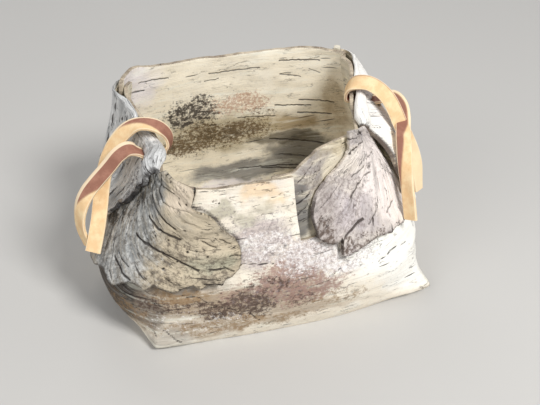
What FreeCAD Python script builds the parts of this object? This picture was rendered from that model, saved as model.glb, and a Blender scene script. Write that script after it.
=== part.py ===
"""Folded birch bark box: one bent main sheet, two end walls, four gathered flaps, two laces.

Millimetres, +Z up.  The origin is the middle of the flat base, X runs along the box, and the
front panel faces -Y.  Angles are degrees about the box's middle, 0 at +X, 90 at +Y (the back).
"""
import FreeCAD
import Part
import math
import os
from FreeCAD import Vector

# The bark and the play between its leaves
bark = 2.2
play = 0.5
fit = 0.08                              # how closely a leaf's face follows its form

# The whole body, over the belly
body_length = 185.0
body_depth = 125.0

# Half sizes of the outer wall at the foot, at the belly and at the rim
foot_left = 0.438 * body_length
belly_left = 0.53 * body_length
rim_left = 0.357 * body_length
foot_right = 0.422 * body_length
belly_right = 0.47 * body_length
rim_right = 0.324 * body_length
foot_front = 0.472 * body_depth
belly_front = 0.52 * body_depth
rim_front = 0.4 * body_depth
foot_back = 0.416 * body_depth
belly_back = 0.48 * body_depth
rim_back = 0.416 * body_depth
corner_foot = 3.0                       # exponent of the rounded plan, 2 would be an ellipse
corner_rim = 4.2
middle_y = 2.0
middle_shift = 8.0                      # how far the mouth lies to the left of the base

# Heights
belly_height = 35.0
foot_crease = 5.0                       # larger makes the crease round the base crisper
waist = 0.75                            # below 1 the wall draws in sooner above the belly
lap_height = 62.0                       # where the main sheet ends behind the flaps
front_height = 98.0
back_height = 115.0
wall_top = 122.0                        # blank height before the rims are cut

# Where the mouth is drawn in or pushed out: from and to which height, direction, depth, half width
draw_start = 24.0
draw_end = 82.0
tuck_angle = 316.0
tuck_depth = 20.0
tuck_width = 22.0
left_draw_angle = 194.0
left_draw_depth = 10.5
left_draw_width = 22.0
right_draw_angle = 352.0
right_draw_depth = 3.0
right_draw_width = 18.0
back_left_angle = 150.0
back_left_push = 4.5
back_left_width = 14.0
back_right_angle = 25.0
back_right_push = 8.0
back_right_width = 15.0

# Pinched ears at the four corners of the base
ear_height = 16.0
ear_width = 9.0
front_right_ear_angle = 328.0
front_right_ear = 23.0
front_left_ear_angle = 218.0
front_left_ear = 12.0
back_right_ear_angle = 33.0
back_right_ear = 14.0
back_left_ear_angle = 146.0
back_left_ear = 12.0

# Between these directions the main sheet ends at its lap, at the left and the right end
left_gap_first = 154.0
left_gap_last = 207.0
right_gap_first = 277.6
right_gap_last = 390.0
front_bow = -1.5                        # how far a rim bows up in the middle
back_bow = 1.5
crack_x = -50.0
crack_width = 1.2
crack_depth = 11.0

# End walls: first and last direction, foot, and how far the rim climbs from front to back
left_wall_first = 146.0
left_wall_last = 224.0
right_wall_first = 266.0
right_wall_last = 390.0
end_wall_foot = 28.0
left_rim_front = 101.0
left_rim_back = 112.0
right_rim_front = 97.5
right_rim_back = 114.0
right_climb_first = 345.0
right_climb_last = 380.0

# Front flaps: gather point, then direction and reach of the outline, seen on the unrolled wall
mean_radius = 64.0
pleat_height = 1.6
flap_start = 0.2
left_gather_angle = 204.0
left_gather_height = 97.0
left_flap_outline = ((-18, 28), (-24, 48), (-39, 60), (-59, 56), (-80, 54), (-101, 57), (-122, 52))
left_pleat_count = 3
right_gather_angle = 341.0
right_gather_height = 99.0
right_flap_outline = ((-172, 56), (-156, 64), (-141, 66), (-127, 63), (-112, 50), (-90, 44), (-66, 40))
right_pleat_count = 3

# Back flaps: directions of the front and back edge at foot and top, and heights
left_back_flap = dict(front_foot=187.0, front_top=210.0, back_foot=132.0, back_top=126.0,
                      foot_front=64.0, foot_back=54.0, top_back=100.0)
right_back_flap = dict(front_foot=335.0, front_top=342.5, back_foot=408.0, back_top=414.0,
                       foot_front=57.0, foot_back=54.0, top_back=100.0)
left_flare = 0.0                        # how far a back flap stands off the end wall at its fullest
right_flare = 9.0
flare_front = 0.25                      # shares of the flap over which it grows from its front edge
flare_back = 0.6                        # and dies out to its back edge
flap_bow = 5.0                          # how far a back flap bows down between its corners
shoulder_share = 0.28                   # share of a back flap over which its top runs down to its back
lift_run = 15.0                         # how far below the rim a back flap lifts over the pleats
settle_run = 20.0                       # and over which height above the lap
settle_width = 10.0                     # over how many degrees a leaf settles on the next
left_over_first = 170.0                 # directions where a back flap lies on the front one
left_over_last = 225.0
right_over_first = 325.0
right_over_last = 372.0

# Laces and their holes
lace_width = 8.0
lace_thickness = 2.2
hole_diameter = 8.8
hole_depth = 2.25                       # the hole's middle, inside the outer wall
left_hole_angle = 193.3
left_hole_height = 98.0
right_hole_angle = 366.5
right_hole_height = 101.0
# Routes of the laces, from the middle of the hole to the cut end, measured from that middle
left_over_route = ((0, 0, 0), (7, 0, 1.5), (12.5, 0.3, 5.5), (14, 1, 11.7), (10.8, 2, 17.4),
                   (4.5, 3.5, 20.5), (-3, 5.5, 20.5), (-10.5, 8, 17), (-17, 10.5, 10), (-22, 12.5, 0.5),
                   (-26, 13.5, -10), (-29, 12.5, -21), (-32, 9.5, -32), (-35, 5, -43), (-37.5, 1, -52))
left_outer_route = ((0, 0, 0), (-7, 0, -1.5), (-14, 0.5, -2.5), (-21, 1.5, -5.5), (-27.5, 2.5, -11),
                    (-33.5, 3, -18), (-38.5, 2, -26), (-42, -1, -34.5), (-42.5, -5, -43),
                    (-40, -8.5, -50.5))
right_over_route = ((0, 0, 0), (-6.3, 0, 0.8), (-11.1, -0.3, 5), (-11.7, -1, 11.3), (-7.5, -2.5, 16),
                    (-1, -5, 17), (6, -8.5, 14.5), (12.5, -12.5, 8.5), (17.5, -17, 0),
                    (21.5, -21.5, -9.5), (24.5, -25.5, -19.5), (27, -29, -29.5), (28.5, -31.5, -39),
                    (29, -33, -47.5))
right_outer_route = ((0, 0, 0), (17, 0, -2.2), (23, -2, 0.5), (27, -7, 2),
                     (29, -14, 0.5), (28.8, -21.5, -3.5), (25.5, -29, -9), (22, -34, -15),
                     (20.8, -37.5, -22.5), (21.5, -41, -31), (23, -44.5, -40), (24, -47, -48))


# How finely the surfaces are drawn
ring_step = 10                          # degrees between the columns of the main sheet
low_ring_count = 4
high_ring_count = 6
wall_column_step = 3.9
flap_column_count = 30
row_count = 10


def smooth(share):
    """Ease from 0 to 1."""
    share = min(max(share, 0.0), 1.0)
    return share * share * (3 - 2 * share)


def bump(angle, middle, width):
    """Bell over the directions near middle, 1 at its top."""
    turn = (angle - middle + 180.0) % 360.0 - 180.0
    return math.exp(-(turn / width) ** 2)


def half_size(height, foot, belly, rim):
    """Half size of the wall at a height: rolled out to the belly, drawn in to the rim."""
    if height < belly_height:
        roll = 1 - (1 - (height + foot_crease) / (belly_height + foot_crease)) ** 2
        start = 1 - (1 - foot_crease / (belly_height + foot_crease)) ** 2
        share = (math.sqrt(roll) - math.sqrt(start)) / (1 - math.sqrt(start))
        return foot + (belly - foot) * share
    climb = (height - belly_height) / (wall_top - belly_height)
    return belly + (rim - belly) * smooth(climb ** waist)


def plan_point(angle, height, eared):
    """Point of the bare outer wall, flat at its height."""
    turn = math.radians(angle)
    side = (foot_right, belly_right, rim_right)
    face = (foot_back, belly_back, rim_back)
    if math.cos(turn) < 0:
        side = (foot_left, belly_left, rim_left)
    if math.sin(turn) < 0:
        face = (foot_front, belly_front, rim_front)
    along = half_size(height, *side)
    across = half_size(height, *face)
    rise = smooth((height - draw_start) / (draw_end - draw_start))
    power = corner_foot + (corner_rim - corner_foot) * smooth(height / back_height)
    reach = (abs(math.cos(turn) / along) ** power + abs(math.sin(turn) / across) ** power) ** (-1 / power)
    reach -= rise * tuck_depth * bump(angle, tuck_angle, tuck_width)
    reach -= rise * left_draw_depth * bump(angle, left_draw_angle, left_draw_width)
    reach -= rise * right_draw_depth * bump(angle, right_draw_angle, right_draw_width)
    reach += rise * back_left_push * bump(angle, back_left_angle, back_left_width)
    reach += rise * back_right_push * bump(angle, back_right_angle, back_right_width)
    if eared:
        pinch = math.exp(-(height / ear_height) ** 2)
        reach += pinch * front_right_ear * bump(angle, front_right_ear_angle, ear_width)
        reach += pinch * front_left_ear * bump(angle, front_left_ear_angle, ear_width)
        reach += pinch * back_right_ear * bump(angle, back_right_ear_angle, ear_width)
        reach += pinch * back_left_ear * bump(angle, back_left_ear_angle, ear_width)
    middle_x = -middle_shift / 2 * (1 + smooth(height / back_height))
    return middle_x + reach * math.cos(turn), middle_y + reach * math.sin(turn)


def skin(angle, height, off=0.0, eared=False):
    """Point of the surface that lies off outside the outer wall (inside it when negative)."""
    low = height < belly_height
    level = belly_height * (height + off) / (belly_height + off) if low else height
    x, y = plan_point(angle, level, eared)
    x1, y1 = plan_point(angle - 0.5, level, False)
    x2, y2 = plan_point(angle + 0.5, level, False)
    length = math.hypot(x2 - x1, y2 - y1)
    out_x, out_y = (y2 - y1) / length, -(x2 - x1) / length
    grow = off
    if not low:
        xa, ya = plan_point(angle, level - 0.5, False)
        xb, yb = plan_point(angle, level + 0.5, False)
        slope = (xb - xa) * out_x + (yb - ya) * out_y
        grow = off * math.sqrt(1 + slope * slope)
    return Vector(x + out_x * grow, y + out_y * grow, height)


def shell_blank(foot, off, eared):
    """Solid inside the skin, from its foot to the blank height: rings skinned into one smooth wall."""
    directions = range(0, 360, ring_step)
    heights = [foot + (belly_height - foot) * (i / low_ring_count) ** 1.5 for i in range(low_ring_count)]
    heights += [belly_height + (wall_top - belly_height) * i / high_ring_count
                for i in range(high_ring_count + 1)]
    rings = []
    for height in heights:
        ring = Part.BSplineCurve()
        ring.interpolate(Points=[skin(angle, height, off, eared) for angle in directions],
                         PeriodicFlag=True, Parameters=[*directions, 360.0])
        rings.append(ring)
    ribs = []
    for column in zip(*(ring.getPoles() for ring in rings)):
        rib = Part.BSplineCurve()
        rib.interpolate(Points=column, Parameters=heights)
        ribs.append(rib)
    wall = Part.BSplineSurface()
    wall.buildFromPolesMultsKnots([rib.getPoles() for rib in ribs],
                                  ring.getMultiplicities(), rib.getMultiplicities(),
                                  ring.getKnots(), rib.getKnots(), True, False, 3, 3)
    caps = [Part.Face(Part.Wire(wall.vIso(height).toShape())) for height in (heights[0], heights[-1])]
    return closed_solid([wall.toShape(), *caps])


def closed_solid(faces):
    """Solid bounded by faces that meet edge to edge."""
    shell = Part.makeShell(faces)
    shell.sewShape()
    solid = Part.Solid(Part.Shell(shell.Faces) if shell.ShapeType != "Shell" else shell)
    solid.fix(1e-4, 1e-4, 1e-3)
    if solid.Volume < 0:
        solid.reverse()
    return solid


def sheet(inner, outer, across, up):
    """Solid leaf between two faces given as functions of (s, t), each from 0 to 1."""
    faces = []
    surfaces = []
    for side in (inner, outer):
        points = [[side(i / across, j / up) for j in range(up + 1)] for i in range(across + 1)]
        surface = Part.BSplineSurface()
        surface.approximate(Points=points, DegMin=3, DegMax=3, Continuity=2, Tolerance=fit,
                            ParamType="ChordLength")
        surfaces.append(surface)
        faces.append(surface.toShape())
    first_u, last_u, first_v, last_v = surfaces[0].bounds()
    far_u0, far_u1, far_v0, far_v1 = surfaces[1].bounds()
    pairs = [(surfaces[0].uIso(first_u), surfaces[1].uIso(far_u0)),
             (surfaces[0].uIso(last_u), surfaces[1].uIso(far_u1)),
             (surfaces[0].vIso(first_v), surfaces[1].vIso(far_v0)),
             (surfaces[0].vIso(last_v), surfaces[1].vIso(far_v1))]
    for near, far in pairs:
        faces.append(Part.makeRuledSurface(near.toShape(), far.toShape()))
    return closed_solid(faces)


def between(angle, first, last):
    """1 inside a range of directions, easing to 0 within settle_width of its ends."""
    return smooth((angle - first) / settle_width) * smooth((last - angle) / settle_width)


def recess(angle, height):
    """How far a flap sinks onto an end wall, above the edge of the main sheet."""
    above = smooth((height - lap_height - play) / settle_run)
    left = between(angle, left_gap_first, left_gap_last)
    right = between(angle, right_gap_first, right_gap_last)
    return (bark + play) * above * max(left, right)


def rim_height(angle):
    """Height of an end wall's rim, climbing from the front panel to the back wall."""
    if angle < 250:
        climb = smooth((left_gather_angle - angle) / (left_gather_angle - back_left_angle))
        return left_rim_front + (left_rim_back - left_rim_front) * climb
    climb = smooth((angle - right_climb_first) / (right_climb_last - right_climb_first))
    return right_rim_front + (right_rim_back - right_rim_front) * climb


def above_rim(height, bow, front):
    """Solid of all that lies above a gently bowed rim, on the front or the back half."""
    reach = 2 * (belly_left + belly_right)
    left, right = Vector(-reach, 0, height), Vector(reach, 0, height)
    shoulder = (belly_left + belly_right) / 2
    near_left, near_right = Vector(-shoulder, 0, height), Vector(shoulder, 0, height)
    top_left, top_right = Vector(-reach, 0, 2 * height), Vector(reach, 0, 2 * height)
    edges = [Part.makeLine(left, near_left),
             Part.Arc(near_left, Vector(0, 0, height + bow), near_right).toShape(),
             Part.makeLine(near_right, right),
             Part.makeLine(right, top_right),
             Part.makeLine(top_right, top_left),
             Part.makeLine(top_left, left)]
    return Part.Face(Part.Wire(edges)).extrude(Vector(0, -reach if front else reach, 0))


def end_gap(first, last):
    """Solid that lowers the main sheet to its lap between two directions."""
    reach = 2 * (belly_left + belly_right)
    middle = Vector(-middle_shift, middle_y, lap_height)
    spokes = [first + (last - first) * i / 3 for i in range(4)]
    corners = [middle + Vector(math.cos(math.radians(a)), math.sin(math.radians(a)), 0) * reach
               for a in spokes]
    outline = Part.makePolygon([middle, *corners, middle])
    return Part.Face(outline).extrude(Vector(0, 0, wall_top))


def main_sheet():
    """Bottom, front panel and back wall in one bent sheet, low at both ends, with pinched ears."""
    bowl = shell_blank(0.0, 0.0, True).cut(shell_blank(bark, -bark, False))
    for waste in (above_rim(front_height, front_bow, True), above_rim(back_height, back_bow, False),
                  end_gap(left_gap_first, left_gap_last), end_gap(right_gap_first, right_gap_last)):
        bowl = bowl.cut(waste)
    crack = Part.makeBox(crack_width, rim_front, 2 * crack_depth)
    crack.translate(Vector(crack_x, -1.5 * rim_front, front_height - crack_depth))
    return bowl.cut(crack)


def end_wall(first, last):
    """Inner leaf of one end: stands inside the main sheet and carries the lace's hole."""
    def face(off):
        def point(s, t):
            angle = first + (last - first) * s
            return skin(angle, end_wall_foot + (rim_height(angle) - end_wall_foot) * t, off)
        return point
    column_count = round((last - first) / wall_column_step)
    return sheet(face(-2 * bark - play), face(-bark - play), column_count, row_count)


def outline_at(outline, s):
    """Direction and reach at share s of a flap's outline, on a smooth curve through its points."""
    place = s * (len(outline) - 1)
    i = min(int(place), len(outline) - 2)
    share = place - i
    before = outline[max(i - 1, 0)]
    after = outline[min(i + 2, len(outline) - 1)]
    value = []
    for k in (0, 1):
        a, b, c, d = before[k], outline[i][k], outline[i + 1][k], after[k]
        value.append(b + 0.5 * share * (c - a + share * (2 * a - 5 * b + 4 * c - d
                                                        + share * (3 * (b - c) + d - a))))
    return value


def front_flap(gather_angle, gather_height, outline, pleats):
    """Outer leaf fanning out from its gather in pleats, over the front of the main sheet."""
    def face(off):
        def point(s, t):
            along = flap_start + (1 - flap_start) * t
            direction, reach = outline_at(outline, s)
            run = reach * along * math.cos(math.radians(direction))
            height = gather_height + reach * along * math.sin(math.radians(direction))
            angle = gather_angle + math.degrees(run / mean_radius)
            fold = 0.5 - 0.5 * math.cos(2 * math.pi * pleats * s)
            pleat = pleat_height * math.sin(math.pi * along) * fold
            return skin(angle, height, off + pleat - recess(angle, height))
        return point
    return sheet(face(play), face(play + bark), row_count * pleats, row_count)


def back_flap(edges, over_first, over_last, flare):
    """Outermost leaf of one end: from the gather, round the end and onto the back wall."""
    def face(off):
        def point(s, t):
            front = edges["front_foot"] + (edges["front_top"] - edges["front_foot"]) * t
            back = edges["back_foot"] + (edges["back_top"] - edges["back_foot"]) * t
            angle = front + (back - front) * s
            foot = edges["foot_front"] + (edges["foot_back"] - edges["foot_front"]) * s
            foot -= flap_bow * math.sin(math.pi * s)
            top = rim_height(angle % 360 if angle < 250 else angle)
            top -= (top - edges["top_back"]) * smooth((s - 1 + shoulder_share) / shoulder_share)
            height = foot + (top - foot) * t
            over = between(angle, over_first, over_last)
            lift = (bark + play + pleat_height * smooth((top - height) / lift_run)) * over
            spread = (0.45 + 0.55 * smooth(s / flare_front)) * smooth((1 - s) / flare_back)
            lift += flare * math.sin(math.pi * t * t) * spread
            return skin(angle, height, off + lift - recess(angle, height))
        return point
    return sheet(face(play), face(play + bark), flap_column_count, row_count)


def placed(route, angle, height):
    """Points of a lace's route, with its start in the middle of the hole in the wall."""
    middle = skin(angle, height, -hole_depth)
    return [middle + Vector(*step) for step in route]


def punched(leaf, points):
    """Leaf with the lace's hole through it, along the first run of the lace."""
    middle, inside = points[0], points[1]
    along = (inside - middle).normalize() * 2 * hole_diameter
    hole = Part.makeCylinder(hole_diameter / 2, 2 * along.Length, middle - along, along)
    return leaf.cut(hole)


def strip(name, points):
    """Flat lace along straight runs joined by tangent arcs, with its width held along Y."""
    edges = []
    start = points[0]
    radii = []
    for before, corner, after in zip(points, points[1:], points[2:]):
        back = (before - corner).normalize()
        ahead = (after - corner).normalize()
        half_turn = (math.pi - back.getAngle(ahead)) / 2
        shorter = min((before - corner).Length, (after - corner).Length)
        inset = 0.45 * shorter
        radii.append(inset / math.tan(half_turn))
        arc_start = corner + back * inset
        arc_end = corner + ahead * inset
        to_middle = (back + ahead).normalize()
        depth = radii[-1] * (1 / math.cos(half_turn) - 1)
        edges.append(Part.makeLine(start, arc_start))
        edges.append(Part.Arc(arc_start, corner + to_middle * depth, arc_end).toShape())
        start = arc_end
    edges.append(Part.makeLine(start, points[-1]))
    path = Part.Wire(edges)
    along = (points[1] - points[0]).normalize()
    across = Vector(0, 1, 0)
    across = (across - along * across.dot(along)).normalize()
    up = along.cross(across)
    corners = [points[0] + across * (a * lace_width / 2) + up * (b * lace_thickness / 2)
               for a, b in ((-1, -1), (1, -1), (1, 1), (-1, 1), (-1, -1))]
    sweep = Part.BRepOffsetAPI.MakePipeShell(path)
    sweep.setBiNormalMode(Vector(0, 1, 0))
    sweep.add(Part.makePolygon(corners), False, False)
    sweep.build()
    sweep.makeSolid()
    solid = sweep.shape()
    print(name, "length %.1f" % path.Length, "smallest radii", [round(r, 1) for r in sorted(radii)[:3]],
          "volume over section times length %.3f"
          % (solid.Volume / (lace_width * lace_thickness * path.Length)))
    return solid


left_over = placed(left_over_route, left_hole_angle, left_hole_height)
left_outer = placed(left_outer_route, left_hole_angle, left_hole_height)
right_over = placed(right_over_route, right_hole_angle, right_hole_height)
right_outer = placed(right_outer_route, right_hole_angle, right_hole_height)
main = main_sheet()
left_wall = punched(end_wall(left_wall_first, left_wall_last), left_over)
right_wall = punched(end_wall(right_wall_first, right_wall_last), right_over)
left_front = front_flap(left_gather_angle, left_gather_height, left_flap_outline, left_pleat_count)
right_front = front_flap(right_gather_angle, right_gather_height, right_flap_outline, right_pleat_count)
left_back = punched(back_flap(left_back_flap, left_over_first, left_over_last, left_flare), left_over)
right_back = punched(back_flap(right_back_flap, right_over_first, right_over_last, right_flare), right_over)

nodes = {
    "main_sheet": main,
    "left_end_wall": left_wall,
    "right_end_wall": right_wall,
    "left_front_flap": left_front,
    "right_front_flap": right_front,
    "left_back_flap": left_back,
    "right_back_flap": right_back,
    "left_lace_over_rim": strip("left_lace_over_rim", left_over),
    "left_lace_outside": strip("left_lace_outside", left_outer),
    "right_lace_over_rim": strip("right_lace_over_rim", right_over),
    "right_lace_outside": strip("right_lace_outside", right_outer),
}

os.makedirs("parts", exist_ok=True)
for name, shape in nodes.items():
    solid = shape.Solids[0] if len(shape.Solids) == 1 else shape
    print(name, "valid" if solid.isValid() else "NOT VALID", len(shape.Solids), "volume %.0f" % solid.Volume)
    solid.exportStep("parts/%s.step" % name)
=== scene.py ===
"""Birch bark box with leather laces: camera, laces, bark leaves, floor and light."""
import bisect
import math

import bpy
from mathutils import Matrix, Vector, noise


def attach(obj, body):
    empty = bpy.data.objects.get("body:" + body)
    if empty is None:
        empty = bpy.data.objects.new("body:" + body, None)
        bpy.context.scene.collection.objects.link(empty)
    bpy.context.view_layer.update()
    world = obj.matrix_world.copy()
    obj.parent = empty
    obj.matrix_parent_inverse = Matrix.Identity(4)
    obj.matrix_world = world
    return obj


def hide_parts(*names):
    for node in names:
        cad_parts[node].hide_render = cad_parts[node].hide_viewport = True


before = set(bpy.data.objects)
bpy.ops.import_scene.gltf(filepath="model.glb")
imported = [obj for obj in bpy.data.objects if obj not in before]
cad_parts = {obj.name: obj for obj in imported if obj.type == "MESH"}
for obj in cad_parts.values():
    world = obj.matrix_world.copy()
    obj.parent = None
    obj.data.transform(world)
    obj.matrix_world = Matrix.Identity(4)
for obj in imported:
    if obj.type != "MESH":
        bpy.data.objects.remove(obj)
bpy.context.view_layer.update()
MM = 0.001


# ---------------------------------------------------------------- camera
def studio_camera():
    """Camera in front, a little to the left and well above the box."""
    turn, tilt, distance = math.radians(-15), math.radians(38), 0.470
    target = Vector((0, 0, 0.045))
    back = Vector((math.sin(turn) * math.cos(tilt), -math.cos(turn) * math.cos(tilt), math.sin(tilt)))
    bpy.ops.object.camera_add(location=target + back * distance,
                              rotation=(math.pi / 2 - tilt, 0, turn))
    camera = bpy.context.object
    camera.name = "studio_camera"
    camera.data.sensor_width = 36
    camera.data.lens = 54
    camera.data.clip_start = 0.01
    bpy.context.scene.camera = camera


studio_camera()
bpy.context.scene.view_settings.view_transform = "Standard"


# ---------------------------------------------------------------- shader maths
class Sock:
    """A socket, or a number, that adds Math nodes when it is used in an expression."""

    def __init__(self, tree, value):
        self.tree, self.value = tree, value

    def node(self, kind, settings=None, out=0, **inputs):
        """New node of a kind, its settings first, then its sockets; returns one output."""
        new = self.tree.nodes.new(kind)
        for key, setting in (settings or {}).items():
            setattr(new, key, setting)
        for key, value in inputs.items():
            name = key.replace("_", " ")
            socket = new.inputs[int(key[1:])] if key[0] == "i" and key[1:].isdigit() else new.inputs[name]
            self.feed(socket, value)
        return Sock(self.tree, new.outputs[out])

    def feed(self, socket, value):
        if isinstance(value, Sock):
            value = value.value
        if isinstance(value, bpy.types.NodeSocket):
            self.tree.links.new(value, socket)
        else:
            socket.default_value = value

    def math(self, operation, a, b=None, clamp=False):
        inputs = {"i0": a} if b is None else {"i0": a, "i1": b}
        return self.node("ShaderNodeMath", {"operation": operation, "use_clamp": clamp}, **inputs)

    def __add__(self, other):
        return self.math("ADD", self, other)

    def __sub__(self, other):
        return self.math("SUBTRACT", self, other)

    def __rsub__(self, other):
        return self.math("SUBTRACT", other, self)

    def __mul__(self, other):
        return self.math("MULTIPLY", self, other)

    def __truediv__(self, other):
        return self.math("DIVIDE", self, other)

    def step(self, low, high):
        """0 below low, 1 above high, smooth between (falling when high is below low)."""
        return self.node("ShaderNodeMapRange", {"interpolation_type": "SMOOTHSTEP"},
                         Value=self, From_Min=low, From_Max=high, To_Min=0.0, To_Max=1.0)


# ---------------------------------------------------------------- laces
LACE_WIDTH, LACE_THICKNESS = 8.0, 2.0        # millimetres
TOWARDS = (-0.25, -0.72, 0.65)               # the way a lace's outer face looks where it hangs free
# The strands' lines, each from the middle of its hole to its cut end
LEFT_OVER = ((-65, -12, 98), (-60, -12, 98.6), (-56.2, -11.5, 101.8), (-56, -10.4, 107.4), (-59.8, -9, 112),
             (-65, -8, 114.4), (-71, -6, 114.2), (-77, -4.5, 110.5), (-82, -3.5, 104.5), (-86.2, -3, 97.5),
             (-89.5, -3.5, 90), (-92, -5.5, 82.8), (-94.2, -10, 75.8), (-96.7, -16.1, 67.9), (-99.8, -21.1, 59.4),
             (-103, -25.2, 51.8))
LEFT_OUTER = ((-65, -12, 98), (-68.6, -12, 98.7), (-72.4, -12.2, 101.4), (-76.8, -12.3, 104.8), (-82.6, -12, 101.8),
              (-88.4, -12, 94.8), (-94.6, -12.7, 89), (-100.8, -13.8, 83), (-105.2, -14.8, 75.5), (-107.2, -15.4, 66.5),
              (-106.9, -15.7, 57), (-104.8, -15.9, 48.5))
RIGHT_OVER = ((52.5, 10, 101), (48.8, 10.3, 101.2), (46.5, 10.2, 103.4), (46.4, 9.6, 107.2), (48, 8, 111.4),
              (51.8, 5.5, 114), (56.6, 2.7, 114.2), (61.8, -0.4, 111.4), (65.8, -4.4, 107.3), (69.3, -7.2, 100.2),
              (72.1, -9.1, 92.9), (75.7, -10.6, 85.1), (79.2, -12, 77.2), (81.3, -14.6, 69.6), (82.4, -17.6, 61.8),
              (82.8, -20.8, 53.2))
RIGHT_OUTER = ((52.5, 10, 101), (57.8, 7.7, 100.7), (63, 5.4, 100.8), (67.8, 4, 102.8), (72, 2.6, 103.4),
               (75.2, -1.2, 100), (75, -6.4, 94.8), (72.1, -13.6, 92), (69.4, -21.6, 89.4), (67.9, -28, 84),
               (67.2, -33.4, 77.2), (67.2, -38.6, 69), (67.2, -43, 61.3), (67.4, -46, 54.2))
ABOVE, BELOW = (0, 0, 1), (0, 0, -1)         # the way strands look in their slits
OUTWARDS = (-0.85, -0.45, 0.2)               # the way the two outside strands look at their far ends
# Which way each strand's outer face looks: (share of its length, way), blended between the rows
LEFT_OVER_LOOKS = ((0.0, BELOW), (0.035, (0.1, 0, -1)), (0.08, (0.9, -0.35, 0)), (0.15, (0.85, -0.45, 0.3)),
                   (0.26, (0.25, -0.3, 0.9)), (0.42, TOWARDS), (1.0, TOWARDS))
LEFT_OUTER_LOOKS = ((0.0, ABOVE), (0.1, ABOVE), (0.22, TOWARDS), (0.52, TOWARDS), (0.8, OUTWARDS), (1.0, OUTWARDS))
RIGHT_OVER_LOOKS = ((0.0, BELOW), (0.035, (-0.1, 0, -1)), (0.075, (-0.9, 0.42, 0)), (0.115, (-0.9, 0.42, 0.1)),
                    (0.27, TOWARDS), (0.72, TOWARDS), (1.0, (0.6, -0.6, 0.5)))
RIGHT_OUTER_LOOKS = ((0.0, ABOVE), (0.14, ABOVE), (0.26, TOWARDS), (0.52, TOWARDS), (0.84, OUTWARDS), (1.0, OUTWARDS))


def lace(name, route, tint, looks):
    """Flat leather lace along its route, its outer face turned as looks says; tint(share, across, face)
    gives how brown and how pale it is."""
    line = bpy.data.curves.new(name + "_line", "CURVE")
    line.dimensions = "3D"
    line.resolution_u = 12
    spline = line.splines.new("NURBS")
    spline.points.add(len(route) - 1)
    for point, place in zip(spline.points, route):
        point.co = (*(Vector(place) * MM), 1)
    spline.order_u = 3
    spline.use_endpoint_u = True
    guide = bpy.data.objects.new(name + "_line", line)
    bpy.context.collection.objects.link(guide)
    traced = bpy.data.meshes.new_from_object(guide)
    path = [v.co.copy() for v in traced.vertices]
    bpy.data.objects.remove(guide)
    bpy.data.meshes.remove(traced)
    far = [0.0]
    for a, b in zip(path, path[1:]):
        far.append(far[-1] + (b - a).length)
    half, thick, cells = LACE_WIDTH / 2 * MM, LACE_THICKNESS / 2 * MM, 16
    section = [(-1 + 2 * k / cells, 1) for k in range(cells + 1)]
    section += [(1.03, 0.45), (1.03, -0.45)]
    section += [(1 - 2 * k / cells, -1) for k in range(cells + 1)]
    section += [(-1.03, -0.45), (-1.03, 0.45)]
    ring = len(section)
    corners, dark, pale = [], [], []
    last = len(path) - 1
    for k in [0, *range(last + 1), last]:
        point, share = path[k], far[k] / far[-1]
        along = (path[min(k + 1, last)] - path[max(k - 1, 0)]).normalized()
        before = max((look for look in looks if look[0] <= share), key=lambda look: look[0])
        after = min((look for look in looks if look[0] >= share), key=lambda look: look[0])
        part = smooth((share - before[0]) / max(after[0] - before[0], 1e-6))
        up = Vector(before[1]).lerp(Vector(after[1]), part)
        up = (up - along * up.dot(along)).normalized()
        across = up.cross(along)
        end = len(corners) < ring or len(corners) > (last + 1) * ring
        for a, b in section:
            edge = 1 - 0.25 * max(abs(a) - 0.8, 0) / 0.2
            cup = 0.3 * MM * (a * a - 0.4) * math.sin(share * 9)
            ripple = 0.12 * MM * noise.noise(Vector((share * 14, a, 3.0)))
            corners.append(point + across * (a * half) + up * (b * thick * edge + cup + ripple))
            brown, cream = tint(share, a, b)
            dark.append(1.0 if end else brown)
            pale.append(0.0 if end else max(cream, 1 - abs(abs(a) - 1) / 0.05))
    rings = last + 3
    cells_along = [(k * ring + j, k * ring + (j + 1) % ring, (k + 1) * ring + (j + 1) % ring, (k + 1) * ring + j)
                   for k in range(rings - 1) for j in range(ring)]
    cells_along = [c for c in cells_along if c[0] // ring not in (0, rings - 2)]
    near = [(k * ring + j, k * ring + (j + 1) % ring) for k in (0, rings - 2) for j in range(ring)]
    cells_along += [(a, b, b + ring, a + ring) for a, b in near]
    cells_along += [tuple(range(ring)), tuple(range((rings - 1) * ring, rings * ring))]
    mesh = bpy.data.meshes.new(name)
    mesh.from_pydata(corners, [], cells_along)
    piece = bpy.data.objects.new(name, mesh)
    bpy.context.collection.objects.link(piece)
    bpy.ops.object.select_all(action="DESELECT")
    piece.select_set(True)
    bpy.context.view_layer.objects.active = piece
    bpy.ops.object.mode_set(mode="EDIT")
    bpy.ops.mesh.select_all(action="SELECT")
    bpy.ops.mesh.normals_make_consistent(inside=False)
    bpy.ops.object.mode_set(mode="OBJECT")
    for title, values in (("brown", dark), ("pale", pale)):
        layer = mesh.attributes.new(title, "FLOAT", "POINT")
        for item, value in zip(layer.data, values):
            item.value = value
    bpy.ops.object.shade_smooth_by_angle(angle=math.radians(50))
    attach(piece, "root")
    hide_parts(name.replace("_strip", ""))
    return piece


def smooth(share):
    share = min(max(share, 0.0), 1.0)
    return share * share * (3 - 2 * share)


def ramp(value, low, high):
    return min(max((value - low) / (high - low), 0.0), 1.0)


def left_over_tint(share, a, b):
    if b < 0:
        return 0.0, 0.0
    line = 1.1 - 2.4 * ramp(share, 0.16, 0.44)
    return 1 - ramp(a, line - 0.12, line + 0.12), ramp(-a, 0.72, 0.85) * (1 - ramp(share, 0.42, 0.5))


def left_outer_tint(share, a, b):
    if b < 0:
        return 0.0, 0.0
    line = 1.2 - 2.6 * ramp(share, 0.48, 0.76)
    return 1 - ramp(a, line - 0.1, line + 0.1), ramp(-a, 0.5, 0.62) * (1 - ramp(share, 0.66, 0.78))


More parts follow.
